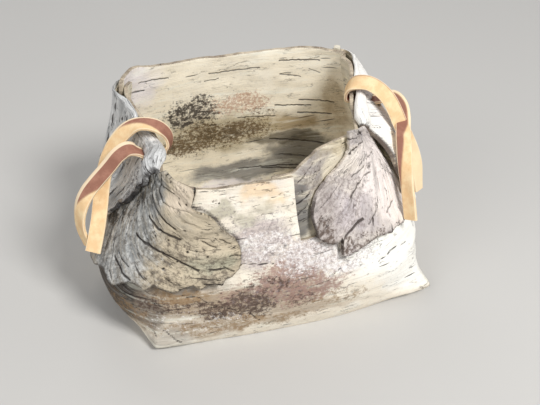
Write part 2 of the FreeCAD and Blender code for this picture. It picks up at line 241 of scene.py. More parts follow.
def right_over_tint(share, a, b):
    if b < 0:
        return 1.0, 0.0
    return 0.9 * ramp(a, 0.8, 0.92) * (1 - ramp(share, 0.6, 0.72)), 0.55 * ramp(share, 0.62, 0.72)


def right_outer_tint(share, a, b):
    if b < 0:
        return 0.0, 0.0
    line = 0.62 - 0.62 * ramp(share, 0.42, 0.5) - 1.1 * ramp(share, 0.55, 0.88)
    return 1 - ramp(a, line - 0.1, line + 0.1), ramp(a, 0.64, 0.72) * (1 - ramp(share, 0.4, 0.46))


laces = [lace("left_lace_over_rim_strip", LEFT_OVER, left_over_tint, LEFT_OVER_LOOKS),
         lace("left_lace_outside_strip", LEFT_OUTER, left_outer_tint, LEFT_OUTER_LOOKS),
         lace("right_lace_over_rim_strip", RIGHT_OVER, right_over_tint, RIGHT_OVER_LOOKS),
         lace("right_lace_outside_strip", RIGHT_OUTER, right_outer_tint, RIGHT_OUTER_LOOKS)]


# ---------------------------------------------------------------- form of the box, in millimetres
BARK, PLAY = 2.2, 0.5                # thickness of a leaf, gap between two leaves
SETTLE = 0.4                         # how far the waves of the walls are set inwards
FOOT, BELLY, RIM = (81, 78, 59, 52), (98, 87, 65, 60), (66, 60, 50, 52)     # left, right, front, back
BELLY_HEIGHT, BACK_HEIGHT, WALL_TOP, LAP_HEIGHT, FRONT_HEIGHT = 35, 115, 122, 62, 98
END_WALL_FOOT = 28
BOTTOM_DEPTH = 5                     # levels of the main sheet that lie on the flat bottom
MIDDLE_X, MIDDLE_Y = -4, 2           # middle of the bottom
LEFT_GAP, RIGHT_GAP = (154, 207), (277.6, 390)      # directions between which the main sheet ends at the lap
LEFT_FAN, RIGHT_FAN = (-36, 110), (72, 101)         # where the grain of the front flaps meets, on the unrolled bark
# Places where the wall is drawn in or swells: direction, how far, width
DRAWS = ((316, -20, 22), (194, -10.5, 22), (352, -3, 18), (150, 4.5, 14), (25, 8, 15))
EARS = ((328, 20, 6), (218, 14, 3), (33, 14, 5), (146, 12, 5))       # direction, reach, height of the tip
EAR_HEIGHT, EAR_WIDTH = 11, 10
CREASE_LIFT = 5                      # how far up its round belly the wall leaves the bottom's crease


def bell(angle, middle, width):
    turn = (angle - middle + 180.0) % 360.0 - 180.0
    return math.exp(-(turn / width) ** 2)


def half_size(height, foot, belly, rim):
    if height < BELLY_HEIGHT:
        roll = 1 - (1 - (height + CREASE_LIFT) / (BELLY_HEIGHT + CREASE_LIFT)) ** 2
        start = 1 - (1 - CREASE_LIFT / (BELLY_HEIGHT + CREASE_LIFT)) ** 2
        share = (math.sqrt(max(roll, 0)) - math.sqrt(start)) / (1 - math.sqrt(start))
        return foot + (belly - foot) * share
    climb = (height - BELLY_HEIGHT) / (WALL_TOP - BELLY_HEIGHT)
    return belly + (rim - belly) * smooth(climb ** 0.75)


def plan_point(angle, height, eared):
    turn = math.radians(angle)
    side = 0 if math.cos(turn) < 0 else 1
    face = 2 if math.sin(turn) < 0 else 3
    along = half_size(height, FOOT[side], BELLY[side], RIM[side])
    across = half_size(height, FOOT[face], BELLY[face], RIM[face])
    rise = smooth((height - 24) / 58)
    power = 3.0 + 1.2 * smooth(height / BACK_HEIGHT)
    reach = (abs(math.cos(turn) / along) ** power + abs(math.sin(turn) / across) ** power) ** (-1 / power)
    for middle, depth, width in DRAWS:
        reach += rise * depth * bell(angle, middle, width)
    if eared:
        for middle, depth, tip in EARS:
            turn_away = abs((angle - middle + 180.0) % 360.0 - 180.0) / EAR_WIDTH
            reach += depth * math.exp(-turn_away ** 1.25 - (abs(height - tip) / EAR_HEIGHT) ** 1.2)
    middle_x = MIDDLE_X * (1 + smooth(height / BACK_HEIGHT))
    return middle_x + reach * math.cos(turn), MIDDLE_Y + reach * math.sin(turn)


def wall(angle, height, off=0.0, eared=False):
    """Point that lies off outside the outer wall, and the wall's level direction outwards."""
    low = height < BELLY_HEIGHT
    level = BELLY_HEIGHT * (height + off) / (BELLY_HEIGHT + off) if low else height
    x, y = plan_point(angle, level, eared)
    x1, y1 = plan_point(angle - 0.5, level, False)
    x2, y2 = plan_point(angle + 0.5, level, False)
    length = math.hypot(x2 - x1, y2 - y1)
    out = Vector(((y2 - y1) / length, -(x2 - x1) / length, 0))
    grow = off
    if not low:
        xa, ya = plan_point(angle, level - 0.5, False)
        xb, yb = plan_point(angle, level + 0.5, False)
        slope = (xb - xa) * out.x + (yb - ya) * out.y
        grow = off * math.sqrt(1 + slope * slope)
    return Vector((x, y, height)) + out * grow


def between(angle, first, last):
    return smooth((angle - first) / 10) * smooth((last - angle) / 10)


def recess(angle, height):
    """How far a flap sinks onto an end wall, above the edge of the main sheet."""
    above = smooth((height - LAP_HEIGHT - PLAY) / 20)
    return (BARK + PLAY) * above * max(between(angle, *LEFT_GAP), between(angle, *RIGHT_GAP))


def rim_height(angle):
    if angle < 250:
        return 101 + 11 * smooth((204 - angle) / 54)
    return 97.5 + 16.5 * smooth((angle - 345) / 35) + 1.6 * bell(angle, 293, 10) \
        + 2.3 * smooth((angle - 278) / 10) * smooth((340 - angle) / 12)


def billow(u, v):
    """How far the right front flap swells outwards, and the cuff that lies over it."""
    return 4.5 * math.exp(-((u - 80) / 15) ** 2 - ((v - 78) / 15) ** 2)


FRONT_DIRECTION, BACK_DIRECTION = 270, 450          # middle of the front panel and of the back wall
RUNS = [0.0]
for degree in range(0, 516):
    RUNS.append(RUNS[-1] + (wall(degree + 1, 60) - wall(degree, 60)).length)


def run(angle):
    """Way along the wall, from the middle of the front panel, positive to the right."""
    place = min(max(angle, 0.0), 514.0)
    i = int(place)
    return RUNS[i] + (RUNS[i + 1] - RUNS[i]) * (place - i) - RUNS[FRONT_DIRECTION]


def angle_at(u):
    """Direction of the place u along the wall, the inverse of run."""
    way = u + RUNS[FRONT_DIRECTION]
    i = min(max(bisect.bisect_right(RUNS, way) - 1, 0), 514)
    return i + (way - RUNS[i]) / (RUNS[i + 1] - RUNS[i])


def away_from(lines, u, v):
    """Greatest of the marks' strengths at a place on the bark: (width, strength, point, point, ...)."""
    most = 0.0
    for width, strength, *points in lines:
        for (x0, y0), (x1, y1) in zip(points, points[1:]):
            dx, dy = x1 - x0, y1 - y0
            share = min(max(((u - x0) * dx + (v - y0) * dy) / (dx * dx + dy * dy), 0.0), 1.0)
            away = math.hypot(u - x0 - share * dx, v - y0 - share * dy)
            if away < width:
                most = max(most, strength * (1 - away / width))
    return most


def grain(point, size, seed=0.0):
    """Smooth unevenness from -1 to 1 at a point in millimetres."""
    return noise.noise(Vector(point) / size + Vector((seed, seed * 0.7, -seed)))


# ---------------------------------------------------------------- leaves
def stained(spots, u, v):
    """How strongly soft spots stain a place on the bark: (u, v, half length, half height, strength)."""
    u += 4.5 * grain((u, v, 0), 13, 41) + 2.0 * grain((u, v, 0), 4.5, 42)
    v += 4.5 * grain((u, v, 9), 13, 43) + 2.0 * grain((u, v, 9), 4.5, 44)
    most = 0.0
    for x, y, along, high, strength in spots:
        away = math.hypot((u - x) / along, (v - y) / high)
        if away < 1.3:
            most = max(most, strength * smooth((1.3 - away) / 0.9))
    return most


def bark_leaf(name, columns, rows, place, fields=(), waste=None, soft_edge=0.4):
    """Leaf of bark from a grid. place(s, t) gives a point of its outer face, its place on the unrolled
    bark, the same along and across the grain, fine relief in millimetres, how worn or shaded it is there
    (wear, dirt and painted shade in one field) and how deep in a mark. Every field (title, how far its
    spots are shifted, spots) is kept as an attribute."""
    bpy.ops.object.select_all(action="DESELECT")
    bpy.ops.mesh.primitive_grid_add(x_subdivisions=columns, y_subdivisions=rows, size=1)
    leaf = bpy.context.object
    leaf.name = leaf.data.name = name
    mesh = leaf.data
    bark = []
    for vertex in mesh.vertices:
        point, *rest = place(vertex.co.x + 0.5, vertex.co.y + 0.5)
        bark.append(rest)
        vertex.co = point * MM
    for title, column in (("unrolled", 0), ("flow", 1)):
        layer = mesh.uv_layers.active if column == 0 else mesh.uv_layers.new(name=title)
        layer.name = title
        for loop in mesh.loops:
            u, v = bark[loop.vertex_index][column]
            layer.data[loop.index].uv = (u / 100, v / 100)
    for title, column in (("relief", 2), ("wear", 3), ("mark", 4)):
        layer = mesh.attributes.new(title, "FLOAT", "POINT")
        layer.data.foreach_set("value", [rest[column] for rest in bark])
    for title, shift, spots in fields:
        layer = mesh.attributes.new(title, "FLOAT", "POINT")
        layer.data.foreach_set("value", [stained(spots, rest[0][0] - shift, rest[0][1]) for rest in bark])
    mesh.update()
    middle = Vector((-6, 2, 55)) * MM
    inward = sum(face.normal.dot(face.center - middle) * face.area for face in mesh.polygons) < 0
    bpy.ops.object.mode_set(mode="EDIT")
    bpy.ops.mesh.select_mode(type="FACE")
    if inward:
        bpy.ops.mesh.select_all(action="SELECT")
        bpy.ops.mesh.flip_normals()
    bpy.ops.mesh.select_all(action="DESELECT")
    bpy.ops.object.mode_set(mode="OBJECT")
    if waste:
        for face in mesh.polygons:
            face.select = waste([bark[i][0] for i in face.vertices])
        bpy.ops.object.mode_set(mode="EDIT")
        bpy.ops.mesh.delete(type="FACE")
        bpy.ops.mesh.select_mode(type="VERT")
        bpy.ops.mesh.select_all(action="SELECT")
        bpy.ops.mesh.remove_doubles(threshold=0.00002)
        bpy.ops.object.mode_set(mode="OBJECT")
    for _ in range(3):
        mesh.materials.append(None)
    thick = leaf.modifiers.new("thick", "SOLIDIFY")
    thick.thickness = BARK * MM
    thick.offset = -1
    thick.material_offset = 1
    thick.material_offset_rim = 2
    soft = leaf.modifiers.new("soft_edge", "BEVEL")
    soft.width = soft_edge * MM
    soft.segments = 2
    soft.limit_method = "ANGLE"
    soft.angle_limit = math.radians(55)
    for modifier in ("thick", "soft_edge"):
        bpy.ops.object.modifier_apply(modifier=modifier)
    outer = set()
    for face in mesh.polygons:
        if face.material_index == 0:
            outer.update(face.vertices)
    for face in mesh.polygons:
        if face.material_index:
            outer.difference_update(face.vertices)
    relief = mesh.attributes["relief"].data
    moved = [(i, mesh.vertices[i].co + mesh.vertices[i].normal * relief[i].value * MM) for i in outer]
    for i, spot in moved:
        mesh.vertices[i].co = spot
    mesh.update()
    bpy.ops.object.shade_smooth()
    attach(leaf, "root")
    return leaf


def steps(*stops):
    """Values from stop to stop: (value, how many cells to the next), ..., last value."""
    values = []
    for (start, count), after in zip(stops, stops[1:]):
        end = after[0] if isinstance(after, tuple) else after
        values += [start + (end - start) * k / count for k in range(count)]
    return values + [stops[-1]]


MAIN_ANGLES = steps((150, 3), (LEFT_GAP[0], 44), (LEFT_GAP[1], 150), (RIGHT_GAP[0], 110), (RIGHT_GAP[1], 120), 510)
MAIN_LEVELS = steps((-BOTTOM_DEPTH, 3), (-2, 2), (0, 26), (BELLY_HEIGHT, 28), (LAP_HEIGHT, 42), FRONT_HEIGHT)
# The four sides of each front flap on the unrolled bark: upper edge, far edge, neck, lower edge
LEFT_SIDES = (
    ((-67, 108), (-62, 104.8), (-56, 102.4), (-51.5, 100.6), (-50, 98), (-50.5, 94), (-51.5, 90.5), (-49.5, 88.6),
     (-44, 87), (-38, 82), (-33, 76), (-27.5, 71.5), (-25, 64), (-26, 56)),
    ((-96, 92), (-108, 82), (-118, 72), (-121, 60), (-121, 52)),
    ((-67, 108), (-77, 102), (-86, 97), (-96, 92)),
    ((-26, 56), (-30, 52), (-33, 51.5), (-35, 49), (-38.5, 50.5), (-42, 50), (-45, 47.7), (-48, 50), (-52, 49),
     (-56, 46.5), (-61, 47.5), (-66, 49.5), (-70, 46.5), (-76, 48.5), (-80, 46), (-86, 42.5), (-91, 44.5),
     (-97, 44), (-103, 41.5), (-111, 42), (-121, 52)))
RIGHT_SIDES = (
    ((63, 104.5), (60.5, 96), (54, 90.5), (45, 87), (33, 85.5), (24, 84), (18.5, 79)),
    ((82, 99), (90, 90), (94, 80), (94, 70)),
    ((63, 104.5), (70, 103), (76, 101.5), (82, 99)),
    ((18.5, 79), (16.5, 75), (15.6, 70), (16.5, 63.5), (20.5, 59.5), (25, 58), (28, 59.5), (28.2, 57), (27, 54),
     (27, 51), (29, 49.5), (33, 50.5), (39, 51.5), (44, 52.5), (49, 52.5), (55, 52), (60, 52.5), (65, 51.5),
     (71, 54), (78, 56), (88, 62), (94, 70)))
PINHOLES = ((-54, 92), (-54, 79), (-62, 73), (-52, 68), (-42, 65), (-57, 62), (-63, 58), (-39, 91), (-36, 90),
            (-30, 92))
# Marks in the bark: width, strength, points
DOTS = tuple((1.1, 1.0, (u, v), (u + 0.3, v)) for u, v in PINHOLES)
FRONT_LINES = (
    (1.4, 1.0, (-49.6, 99), (-50, 96), (-51, 93), (-51.6, 90)),
    (1.0, 0.9, (-33, 60), (-27, 57.5), (-25, 55), (-17, 54), (-8, 52.5)),
    (1.0, 0.9, (-22, 22), (-17, 14)), (1.0, 0.9, (-54, 41), (-45, 39), (-39, 31), (-31, 28), (-27, 24)),
    (0.9, 0.8, (-20, 95), (-15, 95)), (0.9, 0.8, (-14, 98), (-9, 97.5)), (0.9, 0.8, (-6, 88.5), (-1, 89)),
    (0.8, 0.6, (-26, 68), (-6, 69)), (0.8, 0.7, (-26, 61), (-18, 62)), (0.8, 0.6, (-22, 72), (-8, 71)),
    (0.8, 0.6, (-12, 80), (-18, 74)), (0.8, 0.6, (-6, 78), (-10, 70)), (1.0, 0.9, (43, 37), (52, 39.5), (63, 39)),
    (0.9, 0.8, (48, 36), (56, 36.5)), (0.9, 0.8, (19, 38.5), (29, 42)), (0.9, 0.8, (61, 21), (63, 15)),
    (1.1, 0.8, (52, 2), (56, 3), (60, 4), (63, 9)), (1.2, 0.9, (-64, 15), (-57, 5)), (1.1, 0.9, (-70, 14), (-67, 10)),
    (1.1, 0.9, (-82, 37), (-74, 37), (-68, 36), (-61, 32)), (0.9, 0.7, (54, 33), (46, 30)),
    (0.8, 0.7, (18, 24), (30, 26)),
    (0.8, 0.7, (-33, 14), (-44, 13)), (0.9, 0.7, (-12, 80), (-6, 80)), (0.9, 0.7, (-36, 94), (-30, 94)),
    (0.9, 0.8, (-90, 34), (-80, 33), (-74, 29)), (0.9, 0.8, (-78, 30), (-70, 22)),
    (0.8, 0.6, (30, 30), (40, 31))) + DOTS
LEFT_LINES = (
    (1.2, 1.0, (-75, 81), (-68, 77), (-63, 76), (-56, 74)), (1.0, 0.9, (-68, 85), (-64, 82), (-59, 79)),
    (1.2, 1.0, (-82, 69), (-72, 68), (-64, 66), (-57, 63), (-46, 57)), (1.1, 1.0, (-92, 52), (-85, 51), (-77, 49)),
    (1.0, 0.9, (-89, 56), (-80, 54)), (1.0, 0.8, (-62, 54), (-56, 50)), (0.9, 0.8, (-45, 73), (-38, 69)),
    (0.9, 0.8, (-36, 73), (-30, 70)), (1.0, 0.9, (-31, 64), (-25, 63)), (1.0, 0.9, (-34, 58), (-29, 55)),
    (1.0, 0.9, (-44, 51), (-32, 49)), (1.0, 0.9, (-67, 100), (-61, 97)),
    (0.9, 0.7, (-72, 106), (-74, 96), (-72, 88), (-66, 83)), (0.9, 0.6, (-77, 101), (-79, 92), (-78, 86)),
    (0.9, 0.7, (-68, 106), (-69, 98), (-66, 92), (-60, 90)), (0.9, 0.7, (-86, 88), (-88, 78), (-84, 72)),
    (0.9, 0.7, (-94, 84), (-98, 70), (-94, 62)), (0.9, 0.7, (-104, 70), (-106, 58), (-102, 50)),
    (0.8, 0.7, (-60, 90), (-52, 88.5)), (0.8, 0.6, (-72, 62), (-64, 58), (-58, 56)),
    (0.8, 0.6, (-56, 84), (-48, 82))) + DOTS
RIGHT_LINES = (
    (1.0, 0.9, (73, 97), (66, 95), (59, 93)), (0.9, 0.7, (79, 90), (73, 88), (66, 84), (56, 80)),
    (1.0, 0.75, (68, 80), (59, 77), (48, 72)), (0.9, 0.75, (43, 79), (32, 77), (22, 76)),
    (1.4, 0.95, (47, 62), (38, 60.5), (30, 59), (27.5, 57)),
    (0.9, 0.75, (23, 67), (17, 64)), (0.9, 0.75, (57, 62), (48, 59)),
    (1.0, 0.75, (69, 62), (62, 59)), (0.8, 0.6, (62, 90), (50, 85), (38, 82)), (0.8, 0.6, (54, 88), (40, 81)),
    (0.8, 0.6, (80, 84), (74, 78), (70, 70)), (0.8, 0.6, (36, 68), (26, 66)),
    (0.9, 0.8, (61, 103), (62, 100.5), (66, 99.5), (71, 101)),
    (1.5, 1.0, (71, 101.5), (73, 100.5)), (0.8, 0.6, (44, 70), (34, 68)))
BAND_LINES = ((1.1, 0.9, (30, 97), (20, 95), (12, 92)), (1.2, 1.0, (22, 83), (14, 81), (8, 80)),
              (1.0, 0.9, (18, 78), (12, 75), (6, 73)), (0.9, 0.7, (40, 98), (26, 90), (18, 88)),
              (1.0, 0.8, (16, 70), (8, 68)))


def smooth_line(points, count):
    """count + 1 points evenly along a smooth curve through the points."""
    fine = []
    for i in range(len(points) - 1):
        around = [points[min(max(i + k, 0), len(points) - 1)] for k in (-1, 0, 1, 2)]
        for step in range(6):
            x = step / 6
            fine.append(tuple(b + 0.5 * x * (c - a + x * (2 * a - 5 * b + 4 * c - d + x * (3 * (b - c) + d - a)))
                              for a, b, c, d in zip(*around)))
    fine.append(points[-1])
    far = [0.0]
    for (x0, y0), (x1, y1) in zip(fine, fine[1:]):
        far.append(far[-1] + math.hypot(x1 - x0, y1 - y0))
    even = []
    for k in range(count + 1):
        want = far[-1] * k / count
        i = min(max(bisect.bisect_right(far, want) - 1, 0), len(fine) - 2)
        x = (want - far[i]) / (far[i + 1] - far[i])
        even.append(tuple(a + (b - a) * x for a, b in zip(fine[i], fine[i + 1])))
    return even


# Lines along the flaps' upper and lower edges; the main sheet is darkened along them with painted shade and dirt
FLAP_EDGES = [(3.5, 1.0, *smooth_line(sides[k], 40)) for sides in (LEFT_SIDES, RIGHT_SIDES) for k in (0, 3)]


def bark_waves(u, height):
    """Broad unevenness of the walls, in millimetres outwards."""
    return 0.9 * grain((u, height, 0), 34, 5) + 0.5 * grain((u, height * 1.5, 0), 11, 8)


def ragged_mark(lines, u, v, reach, layer=0):
    """How deep in a mark a place on the bark lies, the marks' edges ragged by reach."""
    return away_from(lines, u + reach * grain((u, v, 0), 3.5, 51), v + reach * grain((u, v, layer), 3.5, 52))


def main_place(s, t):
    """Main sheet: levels below 0 lie on the flat bottom, from its middle out to the crease."""
    angle = MAIN_ANGLES[round(s * (len(MAIN_ANGLES) - 1))]
    level = MAIN_LEVELS[round(t * (len(MAIN_LEVELS) - 1))]
    u = run(angle)
    if level < 0:
        foot = wall(angle, 0.0, 0.0, True)
        middle = Vector((MIDDLE_X, MIDDLE_Y, 0))
        return middle.lerp(foot, (level + BOTTOM_DEPTH) / BOTTOM_DEPTH), (u, level), (u, level), 0.0, 0.0, 0.0
    back = smooth((math.cos(math.radians(angle - 90)) + 0.12) / 0.24)
    height = level
    if level > LAP_HEIGHT:
        top = FRONT_HEIGHT + (BACK_HEIGHT - FRONT_HEIGHT) * back
        top += 0.8 * grain((u, 0, 0), 22, 3) + 0.4 * grain((u, 0, 0), 5, 3)
        top += 3.0 * bell(u, -62, 9)
        height = LAP_HEIGHT + (level - LAP_HEIGHT) / (FRONT_HEIGHT - LAP_HEIGHT) * (top - LAP_HEIGHT)
    form = bark_waves(u, height) * smooth(height / 12)
    across = height + 5 * grain((u, height, 0), 45, 9)
    fine = 0.22 * grain((u * 0.16, across, 0), 1.7, 2) + 0.16 * grain((u, height, 0), 3.0, 6)
    fine *= smooth(height / 6) * smooth((FRONT_HEIGHT - level) / 3)
    # Painted shade and dirt along the flaps' edges, darker at the top rim and towards the bottom
    wear = max(away_from(FLAP_EDGES, u, height) if angle < 350 and height > 38 else 0.0,
               0.55 * smooth((level - FRONT_HEIGHT + 2) / 2), 0.6 * smooth((3.5 - height) / 3))
    mark = 0.0
    if angle < 350:
        mark = ragged_mark(FRONT_LINES, u, height, 0.7, 9)
        fine -= 0.5 * smooth(mark)
    return wall(angle, height, form - SETTLE, True), (u, height), (u, across), fine, wear, mark


def middle_of(corners):
    """Middle of a cell on the unrolled bark."""
    return [sum(c[k] for c in corners) / len(corners) for k in (0, 1)]


def main_waste(corners):
    """The cells above the lap at the two ends."""
    u, v = middle_of(corners)
    return v > LAP_HEIGHT and (RUN_LEFT[0] < u < RUN_LEFT[1] or RUN_RIGHT[0] < u < RUN_RIGHT[1])


RUN_LEFT = [run(a) for a in LEFT_GAP]
RUN_RIGHT = [run(a) for a in RIGHT_GAP]
# The slits for the laces, in the end walls and in the cuffs: middle on the unrolled bark, half height
HOLE_HALF_LENGTH = 5.2
HOLES = ((run(193.3), 98.3, 2.0), (run(366.5), 100.8, 2.0))
CUFF_HOLES = ((run(193.3), 99.3, 2.0), (run(366.5), 100.8, 2.5))


def hole_waste(corners, holes=HOLES):
    """The cells in the slits for the laces."""
    u, v = middle_of(corners)
    return any(abs(u - x) < HOLE_HALF_LENGTH and abs(v - y) < tall for x, y, tall in holes)


def end_wall_place(first, last, sink_from, lines=()):
    """End wall, its top sinking behind the front panel past one direction. With lines it has marks, and
    its grain lies askew where it is tucked in."""
    def place(s, t):
        angle = first + (last - first) * s
        u = run(angle)
        top = rim_height(angle) + 0.5 * grain((u, 0, 0), 14, 2) - 12 * smooth((angle - sink_from) / 12)
        height = END_WALL_FOOT + (top - END_WALL_FOOT) * t
        form = 0.15 * grain((u, height, 0), 20, 12) - 0.1
        form += min(bark_waves(u, height) - SETTLE, 0.0)
        flow = right_flow(u, height) if lines and u < 58 else (u, height + 4 * grain((u, height, 0), 40, 3))
        worn = 0.6 * smooth((t - 0.97) / 0.03)
        mark = ragged_mark(lines, u, height, 0.8)
        fine = 0.3 * grain((flow[0] * 0.14, flow[1], 0), 1.5, 61) if lines else 0.0
        return wall(angle, height, -BARK - PLAY + form), (u, height), flow, fine - 0.6 * smooth(mark), worn, mark
    return place


def front_flap_place(sides, columns, rows, lines, flow_of, lobe, seed):
    """Flap that fans out from its neck to ragged edges, with folds along the grain."""
    upper, far = smooth_line(sides[0], rows), smooth_line(sides[1], rows)
    neck, edge = smooth_line(sides[2], columns), smooth_line(sides[3], columns)
    lower = []
    for column in range(columns + 1):
        near = edge[column - min(column, columns - column, 14):column + min(column, columns - column, 14) + 1]
        lower.append(tuple(sum(spot[k] for spot in near) / len(near) for k in (0, 1)))

    def place(s, t):
        column, row = round(s * columns), round(t * rows)
        u, v = ((1 - s) * upper[row][k] + s * far[row][k] + (1 - t) * neck[column][k] + t * lower[column][k]
                - (1 - s) * ((1 - t) * neck[0][k] + t * lower[0][k])
                - s * ((1 - t) * neck[-1][k] + t * lower[-1][k])
                + t ** 7 * (edge[column][k] - lower[column][k]) for k in (0, 1))
        way = s * 110 + t * 70
        jag = 0.7 * grain((way, 0, 0), 3.0, seed) + 0.4 * grain((way, 0, 0), 1.2, seed)
        u += 0.6 * jag * (t ** 10 + (1 - s) ** 24 * smooth(t * 3))
        v += jag * (t ** 10 + 0.6 * (1 - s) ** 24 * smooth(t * 3))
        along, across = flow_of(u, v)
        angle = angle_at(u)
        inner = smooth(t * 4) * smooth((1 - t) * 7) * smooth(s * 12)
        form = 1.6 * grain((along * 0.22, across, 0), 9, seed) * inner
        form += 0.6 * grain((along * 0.25, across, 0), 3.6, seed + 3) * inner
        form += 1.3 * grain((s * 60, 0, 0), 3.4, seed + 5) * (1 - smooth(t * 2.2)) * smooth(s * 8)
        form += lobe * math.exp(-((u - 40) / 14) ** 2 - ((v - 72) / 14) ** 2) + billow(u, v)
        form += smooth((t - 0.86) / 0.14) * (1.5 + 1.3 * grain((way, 0, 0), 9, seed + 1)) * smooth((s - 0.02) / 0.12)
        form += 0.5 * smooth((0.05 - s) / 0.05) * (0.4 + grain((way, 0, 0), 6, seed + 2)) * smooth(t * 3 - 1)
        fine = 0.42 * grain((along * 0.14, across, 0), 1.5, seed + 7) + 0.24 * grain((u, v, 0), 1.4, seed + 9)
        mark = ragged_mark(lines, u, v, 0.5)
        fine = (fine - 0.7 * smooth(mark)) * smooth((1 - t) * 16) * smooth(s * 30)
        # Darker along the edges and at the neck: wear together with painted shade under the raised edges and in the
        # gather
        wear = max(0.9 * smooth((t - 0.965) / 0.035), 0.8 * smooth((0.016 - s) / 0.016) * smooth(t * 3 - 1.3),
                   0.5 * smooth((0.1 - t) / 0.1))
        off = PLAY + BARK + 0.5 + form - recess(angle, v)
        return wall(angle, v, off), (u, v), (along, across), fine, wear, mark
    return place


def left_flow(u, v):
    """Place along and across the grain of the left front flap, which fans out from its gather."""
    x, y = u - LEFT_FAN[0], v - LEFT_FAN[1]
    return math.atan2(y, x) * 50, math.hypot(x, y)


def right_flow(u, v):
    """The same on the right, where the grain curls as it fans out."""
    x, y = u - RIGHT_FAN[0], v - RIGHT_FAN[1]
    away = math.hypot(x, y) + 4
    return away, 38 * (math.atan2(y, x) % math.tau + 0.46 * math.log(away))


ROLL_START, ROLL_SHARE = 0.84, 0.16          # part of a back flap's height where its top rolls over the rim


def back_flap_place(front_foot, front_top, back_foot, back_top, foot_front, foot_back, over, flare, roll,
                    tuck, tilt, seed):
    """Flap folded round an end, over the front one and onto the back wall, its top rolled over the rim."""
    def place(s, t):
        rise = min(t / ROLL_START, 1.0)
        curl = max((t - ROLL_START) / ROLL_SHARE, 0.0)
        front = front_foot + (front_top - front_foot) * rise
        back = back_foot + (back_top - back_foot) * rise
        angle = front + (back - front) * s
        loose = 1 - smooth(s * 5)
        loose *= (1 - curl) * (1.0 if tilt is None else 0.35)
        angle += (1.8 * grain((t * 50, 0, 0), 8, 7) + 1.2 * grain((t * 50, 0, 0), 2.6, 2)) * loose
        foot = foot_front + (foot_back - foot_front) * s - 5 * math.sin(math.pi * s)
        foot += 1.6 * grain((s * 70, 0, 0), 8, 5) + 0.9 * grain((s * 70, 0, 0), 2.5, 1)
        top = rim_height(angle % 360 if angle < 250 else angle)
        top -= (top - 100) * smooth((s - 0.72) / 0.28)
        height = foot + (top - foot) * rise
        lap = between(angle, *over)
        lift = (BARK + PLAY + 0.7 + 1.6 * smooth((top - height) / 15)) * lap
        spread = (0.45 + 0.55 * smooth(s / 0.25)) * smooth((1 - s) / 0.6)
        lift += flare * math.sin(math.pi * rise * rise) * spread
        lift -= tuck * (1 - smooth(s / 0.09)) * smooth((rise - 0.25) / 0.3)
        lift += billow(run(angle), height)
        slant = s * 74 + (1 - rise) * 10
        still = smooth((1.0 - t) * 7) * smooth(s * 12)
        lift += 0.9 * grain((slant, rise * 6, 0), 4.0, seed) * still
        off = PLAY + BARK + lift - recess(angle, height)
        swell = roll * (1 + 0.7 * (1 - smooth(s * 3))) * smooth((0.75 - s) / 0.2) * (0.55 + 0.45 * smooth(s * 9))
        swell *= 1 - 0.55 * smooth((s - 0.2) / 0.25)
        turn = curl * math.radians(165) * smooth((0.8 - s) / 0.2)
        off -= swell * (1 - math.cos(turn))
        u = run(angle)
        flow = (height - 0.3 * slant, slant)
        if tilt is not None:
            flow = (u * 0.86 - height * 0.5, (height + tilt * u) * 0.86)
        rolled = smooth(curl * 5)
        if curl:
            flow = (slant * 0.8 + curl * 6, 70 + curl * roll * 5 + 2 * grain((slant, curl * 9, 0), 9, 4))
        fine = 0.5 * grain((slant, rise * 7, 0), 1.5, seed + 4) * (1 - rolled)
        fine += 0.25 * grain((u, height, curl * 9), 1.4, seed)
        fine += 0.7 * grain((slant * 0.25, curl * roll * 5, 0), 1.6, seed + 6) * rolled
        fine *= (1.0 if tilt is None else 0.3) * smooth((1 - t) * 14) * smooth(s * 30)
        # Darker along the front edge and the foot: wear together with painted shade beneath the edge
        wear = max(smooth((0.05 - s) / 0.05), 0.7 * smooth((0.06 - t) / 0.06))
        return wall(angle, height + swell * math.sin(turn), off), (u, height), flow, fine, wear, 0.0
    return place


BACK_MIDDLE = run(BACK_DIRECTION)
# Washes: colour, strength, spots. Stains: colour, strength, size of their speckle, spots.
FRONT_WASHES = (
    ((240, 204, 156), 0.6, ((-12, 94, 13, 6, 1.0), (-3, 88, 8, 6, 0.7))),
    ((204, 191, 185), 0.95, ((-14, 66, 20, 16, 1.0), (12, 52, 20, 13, 1.0), (34, 44, 18, 9, 0.8))),
    ((174, 154, 130), 0.95, ((-66, 34, 44, 15, 1.0), (-90, 26, 30, 20, 1.0), (-34, 32, 34, 14, 1.0),
                             (-2, 34, 28, 16, 0.8))),
    ((186, 168, 146), 0.8, ((-40, 14, 26, 9, 1.0), (0, 17, 34, 8, 1.0))),
    # Painted shade: grey-brown under the left front flap's lower edge and in the fold by the left corner
    ((120, 109, 98), 0.85, ((-70, 28, 9, 16, 1.0), (-60, 46, 30, 4, 0.9), (-76, 40, 12, 8, 0.8))),
    # Painted shade: near black over the left end of the body, which lies in shade under the flap
    ((54, 48, 44), 0.95, ((-98, 24, 16, 24, 1.0), (-114, 22, 18, 24, 1.0), (-85, 37, 13, 13, 1.0),
                              (-84, 21, 9, 11, 0.8))),
    ((178, 172, 150), 0.75, ((-34, 85, 11, 6, 1.0), (-22, 80, 9, 5, 0.7), (-10, 84, 8, 5, 0.5))),
    ((253, 251, 243), 0.95, ((60, 42, 34, 22, 1.0), (66, 20, 24, 12, 0.9))),
    ((178, 170, 158), 0.8, ((-62, 7, 13, 9, 1.0),)))
